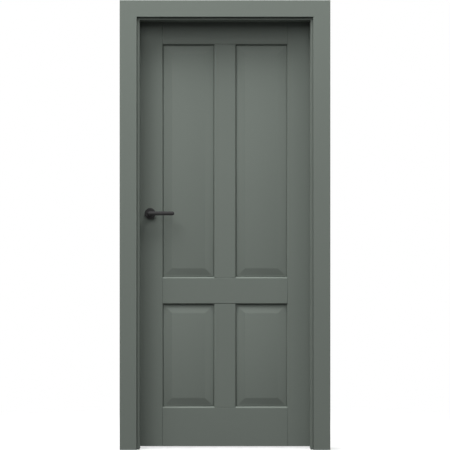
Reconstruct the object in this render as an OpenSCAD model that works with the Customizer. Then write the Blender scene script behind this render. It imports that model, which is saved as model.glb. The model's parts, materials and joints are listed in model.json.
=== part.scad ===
// Interior door: a painted stile-and-rail leaf with four raised panels in a rebated frame
// with casings on both faces of the wall, a lever handle on round roses and three lift-off hinges.
// X runs across the doorway, Y from the push side to the pull side, Z up from the floor.

/* [Opening] */
// Clear width between the jambs
passage_w = 806; // [600:1:1000]
// Clear height under the head jamb
passage_h = 2025; // [1950:1:2200]
// Thickness of the wall that the casings clasp
wall_t = 100; // [90:1:160]
// Gap between the leaf and the floor
floor_gap = 6; // [3:1:12]

/* [Frame] */
// Thickness of the jamb boards
jamb_t = 40; // [38:1:50]
// Depth of the rebate that takes the leaf's edge
stop_step = 13; // [11:1:16]
// Face width of the push-side casings
casing_w = 80; // [60:1:120]
// Thickness of the casings
casing_t = 16; // [14:1:22]
// Width of jamb edge left showing beside the push-side casing
casing_setback = 13; // [8:1:14]
// Radius of the casings' front arrises
casing_ease = 2; // [1:0.5:4]
// Bevel on the jamb's front arris
jamb_ease = 1; // [0.5:0.5:2]
// Width of the shadow gap beside the push-side casing
quirk_w = 1.5; // [1:0.5:2.5]
// Depth of that shadow gap in the jamb's edge
quirk_d = 3; // [2:0.5:5]
// Thickness of the push-side casing's sliding tongue
tongue_t = 6; // [4:0.5:8]
// Length of the sliding tongue
tongue_l = 35; // [20:1:40]
// Distance from the casing's inner edge to its tongue
tongue_inset = 4; // [2:0.5:6]
// Gap between the stop and the leaf, filled by the seal
seal_gap = 3; // [2.5:0.5:5]
// Width of the seal's head
seal_w = 7; // [5:0.5:8]
// Thickness of the seal's fin
seal_fin_t = 2.6; // [2:0.1:3]
// Depth of the seal's fin in the stop
seal_fin_l = 6; // [4:0.5:10]

/* [Leaf] */
// Thickness of the leaf
leaf_t = 40; // [40:1:46]
// Thickness of the lip that covers the frame's edge
lip_t = 15; // [14:1:17]
// Width of that lip
lip_w = 13; // [10:1:16]
// Gap between the leaf's edge and the rebate
leaf_clear = 3; // [2:0.5:4]
// Gap between the lip and the pull-side casing
lip_gap = 2; // [1.5:0.5:4]
// Face width of a stile on the push side
stile_w = 113; // [105:1:140]
// Face width of the top rail on the push side
top_rail_w = 113; // [95:1:140]
// Face width of the lock rail
lock_rail_w = 118; // [100:1:200]
// Height of the lock rail's lower arris above the floor
lock_rail_z = 687; // [600:1:780]
// Face width of the bottom rail
bottom_rail_w = 182; // [110:1:240]
// Face width of the mullions
mullion_w = 94; // [80:1:130]
// Radius of the joint dowels
dowel_r = 5; // [4:0.5:6]
// Length of the dowels between stile and rail
dowel_l = 100; // [70:2:110]
// Length of the dowels between rail and mullion
mullion_dowel_l = 80; // [50:2:84]
// Distance from a rail's arris to its nearest dowel
dowel_inset = 30; // [26:1:34]
// Distance from a mullion's middle to its dowels
mullion_dowel_x = 22; // [15:1:26]

/* [Mouldings and panels] */
// Width of the eased arris on stiles and rails
ease_w = 3; // [1:0.5:3.5]
// Depth of the eased arris
ease_d = 2; // [0.8:0.2:2.4]
// Width of the sloped moulding round each panel
stick_w = 7; // [4:0.5:10]
// Depth from the leaf's face to the panel's margin
recess = 11; // [9:0.5:12]
// Flat margin between moulding and bevel
panel_margin = 7; // [4:0.5:14]
// Open joint between the moulding's foot and the panel's margin
panel_gap = 1; // [0.5:0.5:2]
// Step from the panel's margin down to its tongue
panel_step = 3; // [2:0.5:4]
// Width of the panel's bevel
panel_bevel = 34; // [20:1:50]
// Depth from the leaf's face to the panel's field
field_recess = 2; // [1:0.5:5]
// Depth of the panel groove behind the arris
groove_in = 6; // [4:0.5:9]
// Play between the panel's edge and the groove's floor
panel_play = 1; // [0.5:0.5:2]
// Fit between parts that slide together
fit_gap = 0.2; // [0.1:0.05:0.3]

/* [Hinges] */
// Radius of the hinge barrel
hinge_r = 7; // [6.5:0.5:7.5]
// Length of one hinge knuckle
knuckle_l = 34; // [32:1:44]
// Radius of the hinge pin
pin_r = 3.5; // [3:0.5:4]
// Running clearance between pin and knuckle
pin_play = 0.05; // [0.03:0.01:0.09]
// Radius of the stems that are drilled into leaf and frame
stem_r = 4; // [3:0.5:4.5]
// Length of the stems in the leaf and in the frame
stem_l = 38; // [25:1:45]
// Distance between the two stems of one knuckle
stem_pitch = 18; // [16:1:20]
// Gap between barrel and lip
hinge_off = 1; // [0.5:0.5:2]
// Thickness of the washer between the knuckles
washer_t = 1.2; // [0.8:0.2:2]
// Distance from the leaf's top and bottom to the hinges' middles
hinge_end = 220; // [150:5:300]

/* [Lock] */
// Height of the handle's axis above the floor
handle_z = 1114; // [1000:1:1200]
// Distance from the leaf's edge to the handle's axis
backset = 57; // [50:1:60]
// Depth of the lock case behind the forend
case_d = 82; // [80:1:84]
// Thickness of the lock case
case_t = 14; // [14:0.5:16]
// Sheet thickness of the lock case
case_wall = 1.5; // [1:0.1:1.6]
// Height of the case above the handle's axis
case_up = 50; // [46:1:60]
// Height of the case below the handle's axis
case_down = 40; // [30:1:50]
// Width of the forend
forend_w = 18; // [16:1:20]
// Length of the forend
forend_h = 160; // [150:1:180]
// Thickness of the forend and the strike plate
forend_t = 3; // [2:0.5:3]
// Thickness of the latch bolt across the leaf
latch_w = 8; // [6:0.5:9]
// Height of the latch bolt
latch_h = 16; // [12:0.5:18]
// Throw of the latch bolt
latch_out = 12; // [8:0.5:12]
// Height of the latch bolt above the handle's axis
latch_rise = 30; // [28:0.5:34]
// Length of the strike plate
strike_h = 110; // [90:1:140]
// Width of the strike plate
strike_w = 16; // [14:1:16]

/* [Handle] */
// Diameter of the roses
rose_d = 52; // [50:0.5:56]
// Height of the roses
rose_h = 9; // [8:0.5:12]
// Sheet thickness of the rose covers
rose_wall = 2; // [1:0.5:2.5]
// Width of the collar round the lever's neck
collar_w = 3; // [2:0.5:4]
// Height of that collar above the rose
collar_h = 2.5; // [1:0.5:4]
// Diameter of the lever's round bar
lever_d = 19; // [17:0.5:20]
// Distance from the handle's axis to the lever's tip
lever_reach = 116; // [90:1:140]
// Distance from the leaf's face to the lever's middle line
lever_stand = 48; // [46:1:60]
// Width of the square spindle
spindle_s = 8; // [7:0.5:9]
// Depth of the spindle in each lever
spindle_in = 30; // [28:1:32]
// Distance from the handle's axis to the through bolts
bolt_off = 18.5; // [17:0.5:18.5]
// Radius of the through bolts
bolt_r = 2; // [1.5:0.25:2]

/* [Hidden] */
$fn = 48;

// colours
paint = [0.44, 0.467, 0.443];
black = [0.16, 0.16, 0.16];
steel = [0.72, 0.72, 0.71];
zinc = [0.62, 0.63, 0.64];
rubber = [0.2, 0.21, 0.2];
timber = [0.78, 0.66, 0.48];
nylon = [0.85, 0.85, 0.82];

// frame lines
half_w = passage_w / 2;
wall_push = -wall_t / 2;
wall_pull = wall_t / 2;
casing_front = wall_push - casing_t;
casing_back = wall_pull + casing_t;
casing_out = casing_setback + casing_w;
tongue_u = casing_setback + tongue_inset;
rebate_x = half_w + stop_step;
over = 1;
big = 3 * wall_t;
arc_n = 4;

// leaf lines
lip_y = casing_back + lip_gap;
leaf_pull = lip_y + lip_t;
leaf_push = leaf_pull - leaf_t;
leaf_mid = (leaf_pull + leaf_push) / 2;
stop_y = leaf_push - seal_gap;
edge_x = rebate_x - leaf_clear;
edge_top = passage_h + stop_step - leaf_clear;
lip_x = edge_x + lip_w;
lip_top = edge_top + lip_w;
arris_x = edge_x - stile_w;
z_top = edge_top - top_rail_w;
z_lock_lo = lock_rail_z;
z_lock_hi = lock_rail_z + lock_rail_w;
z_bot = floor_gap + bottom_rail_w;
half_mullion = mullion_w / 2;
foot_d = recess - fit_gap;
groove_d = recess + panel_step - fit_gap;
tenon_play = 0.5;
tenon_in = groove_in - tenon_play;
panel_in = groove_in - panel_play;
dowel_fit = 0.15;
dowel_mid = leaf_mid;

// seal lines
seal_u = (stop_step - leaf_clear) / 2 + 0.5;
seal_play = 0.3;
seal_top = stop_y + seal_gap - seal_play;
seal_crown = 1.2;

// screws: shank radius, head radius, head height, length
screw_fit = 0.15;
screw_rim = 0.3;
small_screw = [1.75, 3.5, 2.2, 25];

// brackets
bracket_w = 30;
bracket_l = 60;
bracket_t = 2.5;
bracket_hole = [22, 45];
bracket_stagger = 7;
outer_x = half_w + jamb_t;
outer_z = passage_h + jamb_t;

// hinges
hinge_x = lip_x + hinge_r + hinge_off;
hinge_y = lip_y + lip_t / 2;
hinge_z = [edge_top - hinge_end, (edge_top + floor_gap) / 2, floor_gap + hinge_end];
stem_fit = 0.1;
stem_bite = 1;
washer_inset = 0.5;
stem_near = (knuckle_l - stem_pitch) / 2;
dome = 1.5;
bore_end = 6;

// lock
lock_y = (leaf_push + lip_y) / 2;
axis_x = -(edge_x - backset);
case_x = -(edge_x - forend_t);
latch_z = handle_z + latch_rise;
case_mid_z = handle_z + (case_up - case_down) / 2;
case_fit = 0.5;
strike_x = -rebate_x;
latch_fit = 0.4;
pocket_d = latch_out + 2;
hub_r = 9;
hub_fit = 0.1;
cam_r = 10.5;
arm_r = 21;
arm_w = 7;
arm_gap = 1.5;
in_gap = 0.4;
tab_w = 4;
tail_r = 3;
nose_t = 1;
head_l = 10;
lug_t = 3;
lug_x = 33;
spring_r = 4.2;
wire_r = 0.5;
spring_turns = 7;
spring_n = 12;
wire_n = 6;

// handle
lever_r = lever_d / 2;
rose_r = rose_d / 2;
base_r = rose_r - rose_wall - fit_gap;
base_h = 5;
rose_ease = 2;
collar_ease = 0.8;
neck_fit = 0.2;
bush_t = 1.6;
neck_gap = 1;
bolt_fit = 0.3;
bolt_room = 1;
bolt_head_r = 3.5;
bolt_head_h = 2.5;
grub_r = 2.5;
grub_y = 20;
spindle_fit = 0.05;
spindle_hole_r = 9.5;

function arc(cx, cy, r, from, to) =
    [for (i = [0 : arc_n]) [cx + r * cos(from + (to - from) * i / arc_n),
                            cy + r * sin(from + (to - from) * i / arc_n)]];
function turned(line) = [for (i = [len(line) - 1 : -1 : 0]) line[i]];

// outline of a moulded edge: distance beyond the arris, depth from the push face
stick_line = [
    [0, 0], [ease_w, ease_d], [stick_w, foot_d], [stick_w, groove_d], [-groove_in, groove_d],
    [-groove_in, leaf_t - groove_d], [stick_w, leaf_t - groove_d], [stick_w, leaf_t - foot_d],
    [ease_w, leaf_t - ease_d], [0, leaf_t]
];
// outline of the end that is scribed over such an edge
cope_line = [
    [ease_w, 0], [ease_w, ease_d], [stick_w, foot_d], [stick_w, groove_d], [-tenon_in, groove_d],
    [-tenon_in, leaf_t - groove_d], [stick_w, leaf_t - groove_d], [stick_w, leaf_t - foot_d],
    [ease_w, leaf_t - ease_d], [ease_w, leaf_t]
];
function placed(line, at, side) = [for (p = line) [at + side * p[0], leaf_push + p[1]]];

// an outline of height and depth drawn along X, middle at x = 0
module along_x(length) {
    rotate([0, -90, 0])
        linear_extrude(height = length, center = true)
            children();
}

// an upright frame member on the right, mitred at its top
module upright(u_max) {
    translate([half_w, 0, 0])
        intersection() {
            linear_extrude(height = passage_h + u_max)
                children();
            rotate([90, 0, 0])
                linear_extrude(height = big, center = true)
                    polygon([[-over, 0], [u_max + over, 0],
                             [u_max + over, passage_h + u_max + over], [-over, passage_h - over]]);
        }
}

// the head member, mitred at both ends
module across(u_max) {
    translate([0, 0, passage_h])
        intersection() {
            along_x(passage_w + 2 * u_max)
                children();
            rotate([90, 0, 0])
                linear_extrude(height = big, center = true)
                    polygon([[over - half_w, -over], [half_w - over, -over],
                             [half_w + u_max + over, u_max + over],
                             [-half_w - u_max - over, u_max + over]]);
        }
}

// section of the jambs: distance from the passage face, depth
module jamb_section() {
    difference() {
        polygon([[jamb_ease, wall_push], [jamb_t, wall_push], [jamb_t, wall_pull],
                 [stop_step, wall_pull], [stop_step, stop_y], [0, stop_y],
                 [0, wall_push + jamb_ease]]);
        translate([casing_setback - quirk_w, wall_push - over])
            square([quirk_w, quirk_d + over]);
        translate([tongue_u - fit_gap, wall_push - over])
            square([tongue_t + 2 * fit_gap, tongue_l + 2 * over]);
        translate([seal_u - seal_fin_t / 2 - fit_gap, stop_y - seal_fin_l - over])
            square([seal_fin_t + 2 * fit_gap, seal_fin_l + 2 * over]);
    }
}

// section of the push-side casings, with the sliding tongue
module push_casing_section() {
    polygon(concat(
        [[casing_setback, wall_push]],
        arc(casing_setback + casing_ease, casing_front + casing_ease, casing_ease, 180, 270),
        arc(casing_out - casing_ease, casing_front + casing_ease, casing_ease, 270, 360),
        [[casing_out, wall_push],
         [tongue_u + tongue_t, wall_push], [tongue_u + tongue_t, wall_push + tongue_l],
         [tongue_u, wall_push + tongue_l], [tongue_u, wall_push]]));
}

// section of the pull-side casings, flush with the rebate
module pull_casing_section() {
    polygon(concat(
        [[stop_step, wall_pull]],
        arc(stop_step + casing_ease, casing_back - casing_ease, casing_ease, 180, 90),
        arc(casing_out - casing_ease, casing_back - casing_ease, casing_ease, 90, 0),
        [[casing_out, wall_pull]]));
}

// section of the seal: a crowned head on a fin
module seal_section() {
    half_head = seal_w / 2;
    half_fin = seal_fin_t / 2;
    polygon([[seal_u - half_head, stop_y], [seal_u - half_head, seal_top - seal_crown],
             [seal_u - half_head + seal_crown, seal_top],
             [seal_u + half_head - seal_crown, seal_top],
             [seal_u + half_head, seal_top - seal_crown], [seal_u + half_head, stop_y],
             [seal_u + half_fin, stop_y], [seal_u + half_fin, stop_y - seal_fin_l],
             [seal_u - half_fin, stop_y - seal_fin_l], [seal_u - half_fin, stop_y]]);
}

// countersunk screw pointing down, head at z = 0, or its hole when widened
module screw(kind, wider) {
    rotate_extrude()
        polygon([[0, wider], [kind[1] + wider, wider], [kind[1] + wider, -screw_rim],
                 [kind[0] + wider, -kind[2]],
                 [kind[0] + wider, -kind[3] + kind[0]], [0, -kind[3] - wider]]);
}

// screws of one corner bracket, at the right-hand corner
module bracket_screw_set(wider) {
    for (d = bracket_hole) {
        translate([outer_x - fit_gap, -bracket_stagger, outer_z - d])
            rotate([0, 90, 0])
                screw(small_screw, wider);
        translate([outer_x - d, bracket_stagger, outer_z - fit_gap])
            screw(small_screw, wider);
    }
}

// corner bracket at the right-hand corner, or its seat when widened
module bracket_form(wider) {
    translate([outer_x - bracket_t - wider, -bracket_w / 2 - wider, outer_z - bracket_l - wider])
        cube([bracket_t + 2 * wider, bracket_w + 2 * wider, bracket_l + 2 * wider]);
    translate([outer_x - bracket_l - wider, -bracket_w / 2 - wider, outer_z - bracket_t - wider])
        cube([bracket_l + 2 * wider, bracket_w + 2 * wider, bracket_t + 2 * wider]);
}

module bracket() {
    difference() {
        bracket_form(0);
        bracket_screw_set(screw_fit);
    }
}

// stems of the frame half of a hinge
module frame_stems(zc, wider) {
    for (s = [0, stem_pitch])
        translate([hinge_x, hinge_y, zc - stem_near - s])
            rotate([90, 0, 0])
                cylinder(r = stem_r + wider, h = hinge_y - casing_back + stem_l + wider);
}

// stems of the leaf half of a hinge
module leaf_stems(zc, wider) {
    for (s = [0, stem_pitch])
        translate([hinge_x, hinge_y, zc + stem_near + s])
            rotate([0, -90, 0])
                cylinder(r = stem_r + wider, h = hinge_x - lip_x + stem_l + wider);
}

// barrel of one knuckle from z = 0 up, with a bevelled far end and a blind bore
module knuckle() {
    half_washer = washer_t / 2;
    difference() {
        rotate_extrude()
            polygon([[0, half_washer], [hinge_r, half_washer], [hinge_r, knuckle_l - dome],
                     [hinge_r - dome, knuckle_l], [0, knuckle_l]]);
        translate([0, 0, half_washer - over])
            cylinder(r = pin_r + pin_play, h = knuckle_l - bore_end - half_washer + over + pin_play);
    }
}

module frame_knuckle(zc) {
    color(steel)
        union() {
            translate([hinge_x, hinge_y, zc])
                mirror([0, 0, 1])
                    knuckle();
            difference() {
                frame_stems(zc, 0);
                translate([hinge_x, hinge_y, zc - knuckle_l])
                    cylinder(r = hinge_r - stem_bite, h = knuckle_l);
            }
        }
}

module leaf_knuckle(zc) {
    color(steel)
        union() {
            translate([hinge_x, hinge_y, zc])
                knuckle();
            difference() {
                leaf_stems(zc, 0);
                translate([hinge_x, hinge_y, zc])
                    cylinder(r = hinge_r - stem_bite, h = knuckle_l);
            }
        }
}

module hinge_pin(zc) {
    color(zinc)
        translate([hinge_x, hinge_y, zc - knuckle_l + bore_end])
            cylinder(r = pin_r, h = 2 * (knuckle_l - bore_end));
}

module hinge_washers() {
    color(nylon)
        for (zc = hinge_z)
            translate([hinge_x, hinge_y, zc - washer_t / 2])
                difference() {
                    cylinder(r = hinge_r - washer_inset, h = washer_t);
                    translate([0, 0, -over])
                        cylinder(r = pin_r + pin_play, h = washer_t + 2 * over);
                }
}

// strike plate: seat, latch pocket and screws, all on the latch-side rebate
module strike_seat() {
    translate([strike_x - forend_t - fit_gap, lock_y - strike_w / 2 - fit_gap,
               latch_z - strike_h / 2 - fit_gap])
        cube([forend_t + fit_gap + over, strike_w + 2 * fit_gap, strike_h + 2 * fit_gap]);
}

module strike_pocket(depth) {
    translate([strike_x - depth, lock_y - latch_w / 2 - over, latch_z - latch_h / 2 - over])
        cube([depth + over, latch_w + 2 * over, latch_h + 2 * over]);
}

module strike_screw_set(wider) {
    for (s = [-1, 1])
        translate([strike_x - fit_gap, lock_y, latch_z + s * (strike_h / 2 - strike_w / 2)])
            rotate([0, 90, 0])
                screw(small_screw, wider);
}

module jamb_latch_side() {
    color(paint)
        difference() {
            mirror([1, 0, 0])
                difference() {
                    upright(jamb_t)
                        jamb_section();
                    bracket_form(fit_gap);
                    bracket_screw_set(screw_fit);
                }
            strike_seat();
            strike_pocket(pocket_d);
        }
}

module jamb_hinge_side() {
    color(paint)
        difference() {
            upright(jamb_t)
                jamb_section();
            bracket_form(fit_gap);
            bracket_screw_set(screw_fit);
            for (zc = hinge_z)
                frame_stems(zc, stem_fit);
        }
}

module jamb_head() {
    color(paint)
        difference() {
            across(jamb_t)
                jamb_section();
            for (s = [0, 1])
                mirror([s, 0, 0]) {
                    bracket_form(fit_gap);
                    bracket_screw_set(screw_fit);
                }
        }
}

module push_casing_hinge_side() {
    color(paint)
        upright(casing_out)
            push_casing_section();
}

module push_casing_latch_side() {
    color(paint)
        mirror([1, 0, 0])
            upright(casing_out)
                push_casing_section();
}

module push_casing_head() {
    color(paint)
        across(casing_out)
            push_casing_section();
}

module pull_casing_hinge_side() {
    color(paint)
        difference() {
            upright(casing_out)
                pull_casing_section();
            for (zc = hinge_z)
                frame_stems(zc, stem_fit);
        }
}

module pull_casing_latch_side() {
    color(paint)
        difference() {
            mirror([1, 0, 0])
                upright(casing_out)
                    pull_casing_section();
            strike_seat();
            strike_pocket(pocket_d);
            strike_screw_set(screw_fit);
        }
}

module pull_casing_head() {
    color(paint)
        across(casing_out)
            pull_casing_section();
}

module seal_hinge_side() {
    color(rubber)
        upright(stop_step)
            seal_section();
}

module seal_latch_side() {
    color(rubber)
        mirror([1, 0, 0])
            upright(stop_step)
                seal_section();
}

module seal_head() {
    color(rubber)
        across(stop_step)
            seal_section();
}

module corner_bracket_right() {
    color(zinc)
        bracket();
}

module corner_bracket_left() {
    color(zinc)
        mirror([1, 0, 0])
            bracket();
}

module bracket_screws() {
    color(zinc)
        for (s = [0, 1])
            mirror([s, 0, 0])
                bracket_screw_set(0);
}

module strike_plate() {
    color(steel)
        difference() {
            translate([strike_x - forend_t, lock_y - strike_w / 2, latch_z - strike_h / 2])
                cube([forend_t, strike_w, strike_h]);
            strike_pocket(forend_t + over);
            strike_screw_set(screw_fit);
        }
}

module strike_screws() {
    color(steel)
        strike_screw_set(0);
}

module hinge_frame_knuckle_top() {
    frame_knuckle(hinge_z[0]);
}

module hinge_frame_knuckle_middle() {
    frame_knuckle(hinge_z[1]);
}

module hinge_frame_knuckle_bottom() {
    frame_knuckle(hinge_z[2]);
}

module hinge_leaf_knuckle_top() {
    leaf_knuckle(hinge_z[0]);
}

module hinge_leaf_knuckle_middle() {
    leaf_knuckle(hinge_z[1]);
}

module hinge_leaf_knuckle_bottom() {
    leaf_knuckle(hinge_z[2]);
}

module hinge_pin_top() {
    hinge_pin(hinge_z[0]);
}

module hinge_pin_middle() {
    hinge_pin(hinge_z[1]);
}

module hinge_pin_bottom() {
    hinge_pin(hinge_z[2]);
}

// dowels between rails and stiles, at the right-hand stile
module rail_dowels(wider) {
    for (z = [z_top + dowel_inset, edge_top - dowel_inset,
              z_lock_lo + dowel_inset, z_lock_hi - dowel_inset,
              floor_gap + dowel_inset, z_bot - dowel_inset])
        translate([arris_x - dowel_l / 2 - wider, dowel_mid, z])
            rotate([0, 90, 0])
                cylinder(r = dowel_r + wider, h = dowel_l + 2 * wider);
}

// dowels between rails and mullions
module mullion_dowels(wider) {
    for (z = [z_top, z_lock_hi, z_lock_lo, z_bot])
        for (s = [-1, 1])
            translate([s * mullion_dowel_x, dowel_mid, z - mullion_dowel_l / 2 - wider])
                cylinder(r = dowel_r + wider, h = mullion_dowel_l + 2 * wider);
}

// a right-hand stile with its lip, moulded inner edge and dowel holes
module stile() {
    difference() {
        translate([0, 0, floor_gap])
            linear_extrude(height = lip_top - floor_gap)
                polygon(concat(placed(stick_line, arris_x, -1),
                               [[lip_x, leaf_pull], [lip_x, lip_y],
                                [edge_x, lip_y], [edge_x, leaf_push]]));
        translate([arris_x - stile_w, lip_y - leaf_t, edge_top])
            cube([2 * stile_w, leaf_t, lip_w + over]);
        rail_dowels(dowel_fit);
    }
}

module hinge_stile() {
    color(paint)
        difference() {
            stile();
            for (zc = hinge_z)
                leaf_stems(zc, stem_fit);
        }
}

// forend outline, its seat when widened
module forend_form(wider) {
    translate([-edge_x - wider, lock_y - forend_w / 2 - wider, case_mid_z - forend_h / 2 - wider])
        cube([forend_t + 2 * wider, forend_w + 2 * wider, forend_h + 2 * wider]);
}

module forend_screw_set(wider) {
    for (s = [-1, 1])
        translate([fit_gap - edge_x, lock_y, case_mid_z + s * (forend_h / 2 - forend_w / 2)])
            rotate([0, -90, 0])
                screw(small_screw, wider);
}

// through bolts of the roses
module bolt_set(r) {
    for (s = [-1, 1])
        translate([axis_x + s * bolt_off, leaf_push - base_h, handle_z])
            rotate([-90, 0, 0])
                cylinder(r = r, h = leaf_t + 2 * base_h);
}

module latch_stile() {
    color(paint)
        difference() {
            mirror([1, 0, 0])
                stile();
            forend_form(fit_gap);
            translate([case_x - over, lock_y - case_t / 2 - case_fit, handle_z - case_down - case_fit])
                cube([case_d + over + case_fit, case_t + 2 * case_fit,
                      case_up + case_down + 2 * case_fit]);
            forend_screw_set(screw_fit);
            bolt_set(bolt_r + bolt_room);
            translate([axis_x, leaf_push - over, handle_z])
                rotate([-90, 0, 0])
                    cylinder(r = spindle_hole_r, h = leaf_t + 2 * over);
        }
}

// plan of a rail, its ends scribed to the stiles
module rail_plan(z_from, z_to) {
    translate([0, 0, z_from])
        linear_extrude(height = z_to - z_from)
            polygon(concat(placed(cope_line, arris_x, -1), turned(placed(cope_line, -arris_x, 1))));
}

module rail_holes() {
    for (s = [0, 1])
        mirror([s, 0, 0])
            rail_dowels(dowel_fit);
    mullion_dowels(dowel_fit);
}

module top_rail() {
    color(paint)
        difference() {
            intersection() {
                along_x(2 * edge_x)
                    polygon(concat(placed(stick_line, z_top, -1),
                                   [[lip_top, leaf_pull], [lip_top, lip_y],
                                    [edge_top, lip_y], [edge_top, leaf_push]]));
                rail_plan(z_top - stile_w, lip_top + over);
            }
            rail_holes();
        }
}

module lock_rail() {
    color(paint)
        difference() {
            intersection() {
                along_x(2 * edge_x)
                    polygon(concat(placed(stick_line, z_lock_lo, -1),
                                   turned(placed(stick_line, z_lock_hi, 1))));
                rail_plan(z_lock_lo - stile_w, z_lock_hi + stile_w);
            }
            rail_holes();
        }
}

module bottom_rail() {
    color(paint)
        difference() {
            intersection() {
                along_x(2 * edge_x)
                    polygon(concat(placed(stick_line, z_bot, 1),
                                   [[floor_gap, leaf_pull], [floor_gap, leaf_push]]));
                rail_plan(floor_gap - over, z_bot + stile_w);
            }
            rail_holes();
        }
}

// a mullion between two rails, from arris to arris
module mullion(z_from, z_to) {
    difference() {
        intersection() {
            translate([0, 0, z_from - stile_w])
                linear_extrude(height = z_to - z_from + 2 * stile_w)
                    polygon(concat(placed(stick_line, -half_mullion, -1),
                                   turned(placed(stick_line, half_mullion, 1))));
            along_x(2 * mullion_w)
                polygon(concat(placed(cope_line, z_from, 1), turned(placed(cope_line, z_to, -1))));
        }
        mullion_dowels(dowel_fit);
    }
}

module upper_mullion() {
    color(paint)
        mullion(z_lock_hi, z_top);
}

module lower_mullion() {
    color(paint)
        mullion(z_bot, z_lock_lo);
}

// outline of a raised panel across one direction, between two arrises
function panel_half(from, side) =
    let (foot = stick_w + panel_margin,
         step = stick_w + panel_gap,
         t = leaf_t / 2 - recess - panel_step,
         m = leaf_t / 2 - recess,
         f = leaf_t / 2 - field_recess)
    [for (p = [[-panel_in, t], [step, t], [step, m], [foot, m], [foot + panel_bevel, f]])
        [from + side * p[0], p[1]]];
function panel_line(from, to) =
    let (face = concat(panel_half(from, 1), turned(panel_half(to, -1))))
    concat([for (p = face) [p[0], leaf_mid - p[1]]],
           [for (p = turned(face)) [p[0], leaf_mid + p[1]]]);

// a panel raised on both faces, between four arrises
module raised_panel(x_from, x_to, z_from, z_to) {
    color(paint)
        intersection() {
            translate([0, 0, z_from - panel_in])
                linear_extrude(height = z_to - z_from + 2 * panel_in)
                    polygon(panel_line(x_from, x_to));
            translate([(x_from + x_to) / 2, 0, 0])
                along_x(x_to - x_from + 2 * panel_in)
                    polygon(panel_line(z_from, z_to));
        }
}

module panel_upper_left() {
    raised_panel(-arris_x, -half_mullion, z_lock_hi, z_top);
}

module panel_upper_right() {
    raised_panel(half_mullion, arris_x, z_lock_hi, z_top);
}

module panel_lower_left() {
    raised_panel(-arris_x, -half_mullion, z_bot, z_lock_lo);
}

module panel_lower_right() {
    raised_panel(half_mullion, arris_x, z_bot, z_lock_lo);
}

module dowels() {
    color(timber) {
        for (s = [0, 1])
            mirror([s, 0, 0])
                rail_dowels(0);
        mullion_dowels(0);
    }
}

// outline of the lock case between two depths
module case_block(y_from, y_to, less) {
    translate([case_x + less, y_from, handle_z - case_down + less])
        cube([case_d - 2 * less, y_to - y_from, case_up + case_down - 2 * less]);
}

module hub_bore() {
    translate([axis_x, lock_y - case_t, handle_z])
        rotate([-90, 0, 0])
            cylinder(r = hub_r + hub_fit, h = 2 * case_t);
}

module latch_opening(deep) {
    translate([-edge_x - over, lock_y - latch_w / 2 - latch_fit, latch_z - latch_h / 2 - latch_fit])
        cube([deep + over, latch_w + 2 * latch_fit, latch_h + 2 * latch_fit]);
}

module lock_case() {
    tray_y = lock_y - case_t / 2;
    cover_y = lock_y + case_t / 2 - case_wall;
    color(zinc)
        difference() {
            union() {
                difference() {
                    case_block(tray_y, cover_y, 0);
                    case_block(tray_y + case_wall, cover_y + over, case_wall);
                }
                translate([case_x + lug_x, tray_y + case_wall / 2, latch_z - latch_h / 2])
                    cube([lug_t, cover_y - tray_y - case_wall, latch_h]);
            }
            hub_bore();
            latch_opening(forend_t + case_wall + over);
            bolt_set(bolt_r + bolt_fit);
            translate([case_x, lock_y, latch_z])
                rotate([0, 90, 0])
                    cylinder(r = tail_r + in_gap, h = lug_x + lug_t + over);
        }
}

module lock_cover() {
    color(zinc)
        difference() {
            case_block(lock_y + case_t / 2 - case_wall, lock_y + case_t / 2, 0);
            hub_bore();
            bolt_set(bolt_r + bolt_fit);
        }
}

module lock_forend() {
    color(steel)
        difference() {
            forend_form(0);
            latch_opening(forend_t + over);
            forend_screw_set(screw_fit);
        }
}

module forend_screws() {
    color(steel)
        forend_screw_set(0);
}

// follower: a hub on the spindle with an arm that draws the latch
module follower() {
    inner_t = case_t - 2 * case_wall - 2 * in_gap;
    color(zinc)
        translate([axis_x, lock_y, handle_z])
            difference() {
                union() {
                    rotate([90, 0, 0])
                        cylinder(r = hub_r, h = case_t, center = true);
                    rotate([90, 0, 0])
                        cylinder(r = cam_r, h = inner_t, center = true);
                    translate([-arm_w / 2, -inner_t / 2, 0])
                        cube([arm_w, inner_t, arm_r]);
                }
                cube([spindle_s + 2 * spindle_fit, 2 * case_t, spindle_s + 2 * spindle_fit],
                     center = true);
            }
}

// latch bolt: bevelled head, round tail and the tab that the follower's arm pushes
module latch_bolt() {
    inner_t = case_t - 2 * case_wall - 2 * in_gap;
    tab_x = axis_x + arm_w / 2 + arm_gap;
    head_x = -edge_x + head_l;
    color(steel) {
        translate([0, 0, latch_z - latch_h / 2])
            linear_extrude(height = latch_h)
                polygon([[head_x, lock_y - latch_w / 2], [head_x, lock_y + latch_w / 2],
                         [-edge_x - latch_out, lock_y + latch_w / 2],
                         [-edge_x - latch_out, lock_y + latch_w / 2 - nose_t],
                         [-edge_x - nose_t, lock_y - latch_w / 2]]);
        translate([head_x - over, lock_y, latch_z])
            rotate([0, 90, 0])
                cylinder(r = tail_r, h = tab_x - head_x + 2 * over);
        translate([tab_x, lock_y - inner_t / 2, handle_z + cam_r + over])
            cube([tab_w, inner_t, latch_rise - cam_r - over + tail_r]);
    }
}

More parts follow.
